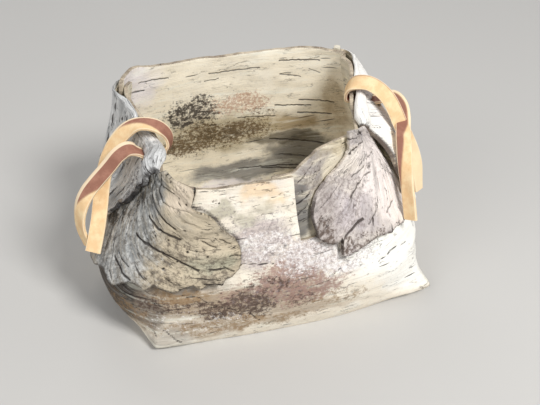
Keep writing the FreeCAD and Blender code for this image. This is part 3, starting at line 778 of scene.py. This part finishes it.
FRONT_SPOTS = (
    ((162, 130, 119), 0.85, 3.0, ((-2, 42, 24, 15, 1.0), (8, 33, 24, 14, 1.0), (-26, 38, 18, 11, 0.7))),
    ((84, 66, 58), 0.9, 2.4, ((-22, 31, 18, 14, 1.0), (-36, 28, 18, 11, 1.0), (-20, 20, 11, 7, 0.8),
                              (-60, 34, 22, 9, 0.8), (6, 28, 13, 9, 0.7), (-4, 40, 16, 7, 0.8))),
    ((150, 122, 88), 0.75, 3.4, ((-54, 40, 18, 7, 1.0), (-34, 14, 36, 8, 0.9), (-4, 12, 26, 7, 0.8),
                                (22, 22, 18, 8, 0.7), (-84, 22, 24, 16, 0.7))),
    ((150, 138, 138), 0.7, 1.6, ((-14, 66, 26, 20, 0.75), (14, 54, 28, 16, 0.8), (30, 44, 22, 9, 0.8),
                                 (-34, 82, 14, 9, 0.6), (0, 36, 40, 12, 0.5))),
    ((250, 246, 243), 0.75, 1.9, ((14, 54, 28, 14, 0.8), (-14, 64, 24, 12, 0.7), (28, 44, 20, 9, 0.8),
                                 (-50, 20, 40, 12, 0.45))))
INNER_WASHES = (
    # Painted shadow low on the inside, cast by the front panel and the right end wall
    ((124, 122, 118), 0.9, ((-44, 36, 32, 16, 1.0), (-2, 28, 40, 9, 1.0), (-54, 28, 22, 14, 1.0))),
    ((166, 138, 88), 0.75, ((-37, 61, 20, 7, 1.0), (-20, 66, 18, 6, 0.6), (-66, 74, 12, 30, 0.6))),
    ((238, 232, 238), 0.7, ((72, 104, 28, 18, 0.9), (16, 18, 34, 5, 0.8))),
    ((190, 176, 142), 0.75, ((10, 60, 46, 16, 1.0),)),
    # Painted shade: a dark band at the top of that shadow
    ((92, 84, 68), 0.75, ((-32, 50, 28, 5, 1.0),)))
INNER_SPOTS = (
    ((66, 58, 52), 0.95, 2.6, ((30, 77, 22, 13, 1.0), (21, 85, 13, 8, 0.9))),
    ((104, 82, 52), 0.9, 2.0, ((8, 60, 40, 13, 1.0), (32, 54, 26, 12, 1.0), (-16, 72, 14, 9, 0.6))),
    ((184, 136, 108), 0.7, 1.8, ((-4, 81, 24, 10, 0.9),)),
    ((84, 70, 48), 0.8, 1.4, ((14, 58, 30, 10, 0.7),)))
END_WASHES = (((168, 160, 156), 0.95, ((24, 92, 18, 15, 1.0), (38, 99, 18, 9, 0.8))),
              # Painted shade: darker grey low on the right end wall, where the front flap shades it
              ((114, 112, 110), 0.95, ((8, 76, 13, 20, 1.0),)),
              ((190, 174, 140), 0.7, ((58, 98, 22, 7, 0.9),)))
END_SPOTS = (((124, 112, 104), 0.6, 2.2, ((24, 88, 22, 16, 0.7), (40, 94, 26, 6, 0.5))),)
LEFT_WASHES = (
    ((152, 155, 156), 0.95, ((-92, 66, 26, 34, 1.0), (-76, 92, 13, 18, 0.9))),
    ((120, 122, 122), 0.75, ((-104, 48, 16, 8, 0.9), (-78, 66, 9, 12, 0.5), (-76, 96, 9, 14, 0.5))),
    ((104, 104, 102), 0.85, ((-75, 95, 10, 13, 1.0),)),
    ((172, 174, 152), 0.6, ((-42, 60, 14, 8, 0.9),)), ((216, 201, 181), 0.9, ((-55, 96, 10, 10, 1.0),)),
    ((216, 200, 172), 0.6, ((-58, 55, 16, 7, 1.0), (-44, 70, 16, 12, 0.6))),
    # Painted shadow: near black on the flap along and beneath the left cuff's front edge
    ((36, 32, 30), 0.9, ((-113, 62, 11, 5, 1.0), (-101, 70, 9, 5, 1.0), (-92, 79, 7, 6, 1.0), (-85, 89, 5, 7, 1.0),
                         (-79, 98, 4, 6, 0.9))))
LEFT_SPOTS = (((92, 82, 72), 0.75, 2.8, ((-56, 60, 38, 20, 0.7), (-90, 58, 28, 22, 0.6), (-40, 52, 18, 6, 0.8))),
              ((216, 215, 210), 0.6, 3.2, ((-90, 62, 30, 30, 0.75), (-74, 88, 12, 16, 0.7))))
RIGHT_WASHES = (((180, 170, 165), 0.7, ((24, 72, 14, 18, 1.0),)), ((242, 232, 226), 0.9, ((74, 72, 20, 26, 1.0),)),
                ((236, 226, 212), 0.7, ((50, 90, 20, 8, 1.0),)), ((190, 180, 186), 0.5, ((44, 66, 16, 10, 0.8),)))
RIGHT_SPOTS = (((92, 76, 66), 0.9, 2.4, ((20, 64, 10, 9, 0.9), (31, 53, 9, 6, 0.9), (46, 54, 16, 5, 0.8))),
               ((136, 124, 120), 0.75, 2.0, ((40, 74, 30, 24, 0.7), (66, 84, 16, 14, 0.4))))
# The first cuff wash is a painted highlight on the roll by the slit
CUFF_WASHES = (((236, 236, 234), 0.9, ((-78, 108, 14, 10, 1.0),)), ((120, 120, 122), 0.6, ((-100, 72, 14, 10, 0.9),)))
CUFF_SPOTS = (((96, 92, 92), 0.85, 2.0, ((-92, 82, 24, 24, 0.75),)),)


def fields_of(title, washes, spots, shift=0.0):
    """Names, shifts and spots of the fields that a finish reads."""
    return ([(f"{title}_wash_{k}", shift, row[2]) for k, row in enumerate(washes)]
            + [(f"{title}_spot_{k}", shift, row[3]) for k, row in enumerate(spots)])


main_sheet = bark_leaf("main_sheet_bark", len(MAIN_ANGLES) - 1, len(MAIN_LEVELS) - 1, main_place,
                       fields_of("front", FRONT_WASHES, FRONT_SPOTS)
                       + fields_of("inner", INNER_WASHES, INNER_SPOTS, BACK_MIDDLE), main_waste)
END_FIELDS = fields_of("end", END_WASHES, END_SPOTS)
left_wall = bark_leaf("left_end_wall_bark", 90, 70, end_wall_place(first=146, last=224, sink_from=205),
                      END_FIELDS, hole_waste)
right_wall = bark_leaf("right_end_wall_bark", 130, 70, end_wall_place(first=266, last=390, sink_from=500,
                                                                      lines=BAND_LINES), END_FIELDS, hole_waste)
LEFT_CELLS, RIGHT_CELLS, BACK_CELLS = (200, 150), (190, 130), (160, 110)
left_front = bark_leaf(
    "left_front_flap_bark", *LEFT_CELLS,
    front_flap_place(LEFT_SIDES, *LEFT_CELLS, LEFT_LINES, left_flow, lobe=0.0, seed=15),
    fields_of("left", LEFT_WASHES, LEFT_SPOTS))
right_front = bark_leaf(
    "right_front_flap_bark", *RIGHT_CELLS,
    front_flap_place(RIGHT_SIDES, *RIGHT_CELLS, RIGHT_LINES, right_flow, lobe=1.6, seed=27),
    fields_of("right", RIGHT_WASHES, RIGHT_SPOTS))
left_back = bark_leaf(
    "left_back_flap_bark", *BACK_CELLS,
    back_flap_place(front_foot=187, front_top=212, back_foot=132, back_top=126, foot_front=64, foot_back=54,
                    over=(170, 225), flare=0.0, roll=3.9, tuck=0.4, tilt=None, seed=21),
    fields_of("cuff", CUFF_WASHES, CUFF_SPOTS), lambda corners: hole_waste(corners, CUFF_HOLES))
right_back = bark_leaf(
    "right_back_flap_bark", *BACK_CELLS,
    back_flap_place(front_foot=335, front_top=342.5, back_foot=408, back_top=414, foot_front=57, foot_back=54,
                    over=(325, 372), flare=9.0, roll=2.8, tuck=1.7, tilt=0.58, seed=33),
    (), lambda corners: hole_waste(corners, CUFF_HOLES))


# ---------------------------------------------------------------- finishes
def rgb(red, green, blue):
    """Colour as it is mixed on a palette of 0 to 255, for a node's socket."""
    linear = [((c / 255 + 0.055) / 1.055) ** 2.4 if c > 10 else c / 3294 for c in (red, green, blue)]
    return (*linear, 1.0)


def finish_for(name, roughness=0.85):
    """New material with its shader and its tree wrapped as a socket."""
    material = bpy.data.materials.new(name)
    material.use_nodes = True
    tree = material.node_tree
    shader = tree.nodes["Principled BSDF"]
    shader.inputs["Roughness"].default_value = roughness
    shader.inputs["Specular IOR Level"].default_value = 0.3
    return material, shader, Sock(tree, None)


def bark_place(wrap, uv_map, shift=0.0):
    """Place on the unrolled bark in millimetres, as a vector and as its two parts."""
    place = wrap.node("ShaderNodeUVMap", {"uv_map": uv_map})
    place = wrap.node("ShaderNodeVectorMath", {"operation": "MULTIPLY_ADD"}, i0=place, i1=(100, 100, 0),
                      i2=(-shift, 0, 0))
    parts = place.node("ShaderNodeSeparateXYZ", Vector=place)
    return place, parts, Sock(wrap.tree, parts.value.node.outputs[1])


def mottle(wrap, scale, detail=3.0, roughness=0.55, stretch=(1, 1, 1), seed=0.0):
    """Noise from 0 to 1 over the piece, in features about scale millimetres long."""
    spot = wrap.node("ShaderNodeTexCoord", out=3)
    size = tuple(1000 / scale * k for k in stretch)
    spot = wrap.node("ShaderNodeVectorMath", {"operation": "MULTIPLY_ADD"}, i0=spot, i1=size,
                     i2=(seed, seed * 1.7, -seed))
    return wrap.node("ShaderNodeTexNoise", Vector=spot, Scale=1.0, Detail=detail, Roughness=roughness)


def flat_noise(wrap, place, size, detail=3.0, seed=0.0):
    """Noise from 0 to 1 on the unrolled bark, with its own size along and across it."""
    spot = wrap.node("ShaderNodeVectorMath", {"operation": "MULTIPLY_ADD"}, i0=place,
                     i1=(1 / size[0], 1 / size[1], 1), i2=(seed, seed * 2.3, seed))
    return wrap.node("ShaderNodeTexNoise", Vector=spot, Scale=1.0, Detail=detail, Roughness=0.6)


def dashes(u, v, cell, size, chance, seed):
    """Lenticels: thin tapering dashes strewn one to a cell, at most size long and thick."""
    row = (v / cell[1]).math("FLOOR", v / cell[1])
    slide = row.node("ShaderNodeTexWhiteNoise", {"noise_dimensions": "1D"}, W=row * 1.37 + seed)
    along = u / cell[0] + slide * 3
    column = along.math("FLOOR", along)
    key = row.node("ShaderNodeCombineXYZ", X=column, Y=row, Z=float(seed))
    dice = row.node("ShaderNodeTexWhiteNoise", {"noise_dimensions": "3D"}, out=1, Vector=key)
    parts = row.node("ShaderNodeSeparateXYZ", Vector=dice)
    first, second, third = (Sock(row.tree, parts.value.node.outputs[k]) for k in range(3))
    x = (along - column - 0.5) * cell[0]
    y = (v / cell[1] - row - 0.5) * cell[1] + (second - 0.5) * (cell[1] - size[1] * 2)
    length = (first * 0.65 + 0.35) * size[0] / 2
    taper = (x / length).math("ABSOLUTE", x / length)
    body = (1 - taper * taper) * size[1] * (third * 0.6 + 0.4) / 2
    mask = (body - y.math("ABSOLUTE", y)).step(-size[1] * 0.12, size[1] * 0.16)
    return mask * third.math("LESS_THAN", (third * 7.31).math("FRACT", third * 7.31), chance)


def marks(place, lines):
    """Thin dark marks along lines on the bark: (width, strength, point, point, ...)."""
    whole = None
    for width, strength, *points in lines:
        nearest = None
        for (x0, y0), (x1, y1) in zip(points, points[1:]):
            reach = (x1 - x0, y1 - y0, 0)
            square = reach[0] ** 2 + reach[1] ** 2
            off = place.node("ShaderNodeVectorMath", {"operation": "SUBTRACT"}, i0=place, i1=(x0, y0, 0))
            share = place.node("ShaderNodeVectorMath", {"operation": "DOT_PRODUCT"}, out=1, i0=off,
                               i1=tuple(c / square for c in reach))
            share = share.math("ADD", share, 0.0, clamp=True)
            foot = place.node("ShaderNodeVectorMath", {"operation": "SCALE"}, i0=reach, Scale=share)
            away = place.node("ShaderNodeVectorMath", {"operation": "DISTANCE"}, out=1, i0=off, i1=foot)
            nearest = away if nearest is None else away.math("MINIMUM", nearest, away)
        mask = nearest.step(width * 0.75, width * 0.25) * strength
        whole = mask if whole is None else whole.math("MAXIMUM", whole, mask)
    return whole


def wavy(wrap, place, reach, size, seed):
    """The place shifted by noise, so that lines and stains drawn on it turn ragged."""
    spot = wrap.node("ShaderNodeVectorMath", {"operation": "MULTIPLY_ADD"}, i0=place,
                     i1=(1 / size, 1 / size, 1), i2=(seed, -seed, seed))
    shake = wrap.node("ShaderNodeTexNoise", out=1, Vector=spot, Scale=1.0, Detail=3.0)
    shake = wrap.node("ShaderNodeVectorMath", {"operation": "SUBTRACT"}, i0=shake, i1=(0.5, 0.5, 0.5))
    return wrap.node("ShaderNodeVectorMath", {"operation": "MULTIPLY_ADD"}, i0=shake,
                     i1=(reach, reach, 0), i2=place)


def colour_of(wrap, colour):
    return wrap.node("ShaderNodeMix", {"data_type": "RGBA"}, out=2, i0=0.0, i6=colour, i7=colour)


def tinted(below, layers):
    """Colours laid over each other: (colour, mask)."""
    for colour, mask in layers:
        below = mask.node("ShaderNodeMix", {"data_type": "RGBA", "clamp_factor": True}, out=2,
                          i0=mask, i6=below, i7=colour)
    return below


def raised(wrap, shader, height, distance=0.4, strength=0.8):
    normal = wrap.node("ShaderNodeBump", Strength=strength, Distance=distance * MM, Height=height)
    wrap.feed(shader.inputs["Normal"], normal)


def pores(place, size, radius, chance):
    """Small round holes, one to a cell of the given size at most."""
    spot = place.node("ShaderNodeVectorMath", {"operation": "SCALE"}, i0=place, Scale=1 / size)
    dot = place.node("ShaderNodeTexVoronoi", Vector=spot, Scale=1.0)
    pick = place.node("ShaderNodeSeparateColor", i0=Sock(place.tree, dot.value.node.outputs[1]))
    return dot.step(radius / size, radius / size * 0.4) * pick.math("LESS_THAN", pick, chance)


def field(wrap, title):
    return wrap.node("ShaderNodeAttribute", {"attribute_name": title}, out=2)


def bark_finish(name, base, patches, lines=(), title="", washes=(), spots=(), dash_sets=(), shift=0.0,
                dark=(40, 32, 30), fibre=0.5, cracks=0.5, holes=0.15, dirt_and_shade=(96, 84, 78), rough=0.8):
    """Birch bark: base colour, clouds, soft washes (some of them painted shade or highlight), speckled
    stains, grain, cracks, pores, marks, and a dark tone for dirt and painted shade along edges.
    """
    def shade(share, lift=0, most=255):
        return rgb(*[min(c * share + lift, most) for c in base])

    material, shader, wrap = finish_for(name)
    place = bark_place(wrap, "unrolled", shift)[0]
    grain_place, along, across = bark_place(wrap, "flow")
    fine = flat_noise(wrap, grain_place, (13, 0.75), 5.0, 4.0)
    broad = flat_noise(wrap, grain_place, (38, 4.5), 4.0, 7.0)
    grit = mottle(wrap, 0.9, 3.0, 0.7)
    layers = []
    for tone, size, low, high, strength, seed in patches:
        cloud = mottle(wrap, size, 6.0, 0.62, seed=seed)
        layers.append((rgb(*tone), cloud.step(low, high) * strength))
    speckle = mottle(wrap, 6.0, 8.0, 0.72, seed=2.0) - 0.5
    for k, (tone, strength, _) in enumerate(washes):
        wash = field(wrap, f"{title}_wash_{k}")
        layers.append((rgb(*tone), (wash + speckle * 1.0).step(0.05, 0.9) * strength))
    layers.append((shade(0.76), broad.step(0.47, 0.75) * fibre))
    layers.append((shade(1.06, 6, 250), broad.step(0.5, 0.28) * 0.6))
    layers.append((shade(0.55), fine.step(0.52, 0.82) * fibre * 1.3))
    layers.append((shade(1.16, 12, 252), fine.step(0.44, 0.26) * fibre))
    streaks = flat_noise(wrap, grain_place, (7, 1.3), 4.0, 21.0) - 0.5
    for k, (tone, strength, bite, _) in enumerate(spots):
        cloud = mottle(wrap, bite, 6.0, 0.78, seed=bite * 3.3) - 0.5
        stain = field(wrap, f"{title}_spot_{k}")
        mask = (stain + cloud * 3.8 + streaks).step(0.5, 1.1) * stain.step(0.02, 0.3)
        layers.append((rgb(*tone), mask * strength))
    ridge = flat_noise(wrap, grain_place, (15, 3.0), 3.0, 12.0) - 0.5
    crack = ridge.math("ABSOLUTE", ridge).step(0.016, 0.003) * flat_noise(
        wrap, grain_place, (12, 6), 2.0, 2.0).step(0.52, 0.62) * cracks
    dents = crack.math("MAXIMUM", crack, pores(place, 4.2, 0.32, holes) * 0.9)
    for cell, size, chance, seed in dash_sets:
        mask = dashes(along, across, cell, size, chance, seed) * (broad.step(0.3, 0.6) * 0.5 + 0.5)
        dents = mask.math("MAXIMUM", dents, mask)
    if lines:
        line = marks(wavy(wrap, place, 1.6, 3.0, 5.0), lines)
        dents = line.math("MAXIMUM", dents, line)
    dents = dents.math("MAXIMUM", dents, field(wrap, "mark").step(0.42, 0.8))
    # Dirt and painted shade: darkens worn rims, and flap edges, flap necks and the main sheet along the flaps' edges,
    # where shade falls
    wear = field(wrap, "wear")
    layers.append((rgb(*dirt_and_shade), (wear + (grit - 0.5) * 0.9 + (broad - 0.5)).step(0.45, 1.1) * 0.9))
    layers.append((shade(0.5), grit.step(0.56, 0.78) * 0.35))
    layers.append((rgb(*dark), dents * 0.9))
    wrap.feed(shader.inputs["Base Color"], tinted(colour_of(wrap, rgb(*base)), layers))
    raised(wrap, shader, fine * 0.55 + broad * 0.5 + grit * 0.4 - dents * 1.4, 0.5, rough)
    return material


outer_bark = bark_finish(
    "outer_birch_bark", (244, 234, 216),
    (((222, 214, 208), 28, 0.48, 0.72, 0.6, 1), ((250, 246, 236), 16, 0.5, 0.7, 0.7, 2),
     ((214, 196, 166), 11, 0.57, 0.76, 0.45, 3)),
    (), "front", FRONT_WASHES, FRONT_SPOTS,
    (((34, 9), (14, 0.7), 0.26, 1), ((21, 13), (7, 0.6), 0.25, 2)),
    fibre=0.28, cracks=0.6, holes=0.12, dirt_and_shade=(62, 54, 48))
INNER_LINES = (
    (0.8, 0.9, (-30, 108), (-58, 107)), (0.7, 0.8, (16, 105), (-17, 105)), (0.7, 0.8, (63, 107), (42, 106)),
    (0.8, 0.8, (86, 104), (59, 101)), (0.9, 0.9, (-42, 79), (-65, 77)), (0.9, 0.9, (-26, 76), (-49, 74)),
    (0.9, 0.9, (-40, 69), (-62, 67)), (0.7, 0.8, (-1, 71), (-25, 68)), (1.1, 0.9, (-21, 50), (-55, 43)),
    (0.8, 0.9, (-14, 27), (-39, 23)), (0.8, 0.9, (0, 29), (-38, 26)), (0.8, 0.8, (-26, 36), (-46, 32)),
    (0.6, 0.8, (19, 100), (10, 100.5)), (0.7, 0.8, (-30, 99), (-44, 96)), (0.6, 0.7, (-50, 101), (-58, 99)))
inner_bark = bark_finish(
    "inner_birch_bark", (250, 240, 218),
    (((214, 206, 190), 26, 0.5, 0.72, 0.5, 5), ((250, 243, 226), 20, 0.5, 0.7, 0.6, 6)),
    INNER_LINES, "inner", INNER_WASHES, INNER_SPOTS, (((30, 8), (15, 0.7), 0.3, 4),),
    shift=BACK_MIDDLE, fibre=0.25)
cut_edge = bark_finish("cut_bark_edge", (196, 182, 160), (((128, 112, 96), 5, 0.42, 0.66, 0.8, 7),),
                       fibre=0.6, cracks=0.0)
end_bark = bark_finish(
    "end_wall_bark", (228, 218, 196),
    (((200, 194, 174), 24, 0.45, 0.7, 0.6, 8), ((240, 234, 220), 16, 0.5, 0.7, 0.6, 9)),
    (), "end", END_WASHES, END_SPOTS, (((30, 12), (12, 0.7), 0.3, 5),), fibre=0.45, cracks=0.8)
left_bark = bark_finish(
    "left_flap_bark", (186, 173, 150),
    (((154, 150, 142), 22, 0.42, 0.66, 0.7, 11), ((206, 190, 162), 13, 0.5, 0.72, 0.6, 12),
     ((138, 130, 120), 7, 0.55, 0.76, 0.55, 13)),
    (), "left", LEFT_WASHES, LEFT_SPOTS, (((26, 7), (14, 0.9), 0.3, 6), ((17, 5), (8, 0.6), 0.25, 7)),
    fibre=0.75, cracks=1.0, holes=0.2, dirt_and_shade=(62, 54, 48), rough=0.95)
right_bark = bark_finish(
    "right_flap_bark", (206, 197, 190),
    (((176, 168, 172), 18, 0.42, 0.66, 0.6, 15), ((236, 226, 212), 11, 0.48, 0.7, 0.7, 16),
     ((150, 134, 122), 6, 0.54, 0.76, 0.6, 17)),
    (), "right", RIGHT_WASHES, RIGHT_SPOTS, (((24, 8), (11, 0.8), 0.3, 8),), dark=(66, 54, 48), fibre=0.6, cracks=0.8,
    dirt_and_shade=(74, 64, 58), rough=0.95)
cuff_bark = bark_finish(
    "left_cuff_bark", (212, 212, 210),
    (((142, 144, 146), 12, 0.46, 0.68, 0.8, 19), ((240, 240, 238), 7, 0.48, 0.66, 0.9, 20)),
    (), "cuff", CUFF_WASHES, CUFF_SPOTS, (((24, 5), (15, 1.2), 0.6, 9), ((15, 3.5), (9, 0.9), 0.45, 10)),
    fibre=1.0, cracks=1.0, dirt_and_shade=(48, 44, 44), rough=1.0)
white_bark = bark_finish(
    "right_cuff_bark", (250, 247, 240),
    (((224, 221, 218), 18, 0.5, 0.72, 0.6, 22), ((253, 251, 246), 9, 0.5, 0.7, 0.6, 23)),
    (), "", (), (), (((22, 7), (14, 0.7), 0.55, 10),), fibre=0.35, cracks=0.7, dirt_and_shade=(90, 80, 76))


def leather_finish():
    material, shader, wrap = finish_for("lace_leather", 0.62)
    brown = wrap.node("ShaderNodeAttribute", {"attribute_name": "brown"}, out=2)
    pale = wrap.node("ShaderNodeAttribute", {"attribute_name": "pale"}, out=2)
    cloud = mottle(wrap, 5, 4.0)
    speck = mottle(wrap, 0.7, 2.0)
    tan = tinted(colour_of(wrap, rgb(236, 200, 152)), ((rgb(246, 220, 176), cloud.step(0.4, 0.7)),
                                                       (rgb(214, 172, 122), speck.step(0.55, 0.8) * 0.4)))
    skin = tinted(colour_of(wrap, rgb(150, 104, 86)), ((rgb(170, 122, 102), cloud.step(0.4, 0.7)),
                                                       (rgb(120, 72, 56), speck.step(0.55, 0.8) * 0.5)))
    colour = tinted(tan, ((skin, brown), (rgb(246, 226, 192), pale.step(0.2, 0.8) * 0.85)))
    wrap.feed(shader.inputs["Base Color"], colour)
    wrap.feed(shader.inputs["Roughness"], 0.85 - brown * 0.3)
    raised(wrap, shader, speck * 0.6 + cloud * 0.4, 0.25, 0.5)
    return material


leather = leather_finish()
for piece in laces:
    piece.data.materials.append(leather)
for piece, node, place, skins in (
        (main_sheet, "main_sheet", "outer_bark", (outer_bark, inner_bark, cut_edge)),
        (left_wall, "left_end_wall", "inner_bark", (end_bark, end_bark, cut_edge)),
        (right_wall, "right_end_wall", "inner_bark", (end_bark, end_bark, cut_edge)),
        (left_front, "left_front_flap", "flap_bark", (left_bark, end_bark, left_bark)),
        (right_front, "right_front_flap", "flap_bark", (right_bark, end_bark, right_bark)),
        (left_back, "left_back_flap", "pale_bark", (cuff_bark, end_bark, cuff_bark)),
        (right_back, "right_back_flap", "pale_bark", (white_bark, end_bark, cut_edge))):
    for slot, skin in zip(piece.material_slots, skins):
        slot.material = skin
    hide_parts(node)


# ---------------------------------------------------------------- floor and light
def studio():
    bpy.ops.object.select_all(action="DESELECT")
    bpy.ops.mesh.primitive_plane_add(size=6)
    floor = bpy.context.object
    floor.name = "studio_floor"
    material, shader, wrap = finish_for("floor_paper", 0.9)
    cloud = mottle(wrap, 400, 2.0)
    tone = tinted(colour_of(wrap, rgb(196, 194, 190)), ((rgb(202, 200, 196), cloud),))
    wrap.feed(shader.inputs["Base Color"], tone)
    floor.data.materials.append(material)
    lamps = (("key_light", (0.42, -0.85, 1.10), 0.42, 17.0), ("fill_light", (-0.95, -0.6, 0.8), 0.9, 4.5),
             ("rim_light", (-0.1, 0.95, 0.9), 0.8, 3.0))
    for name, spot, size, power in lamps:
        bpy.ops.object.light_add(type="AREA", location=spot)
        lamp = bpy.context.object
        lamp.name = name
        lamp.data.shape = "DISK"
        lamp.data.size = size
        lamp.data.energy = power
        aim = Vector((0, 0, 0.05)) - Vector(spot)
        lamp.rotation_euler = aim.to_track_quat("-Z", "Y").to_euler()
    world = bpy.data.worlds.new("studio_air")
    bpy.context.scene.world = world
    world.use_nodes = True
    world.node_tree.nodes["Background"].inputs["Color"].default_value = (0.83, 0.84, 0.87, 1)
    world.node_tree.nodes["Background"].inputs["Strength"].default_value = 0.35


studio()
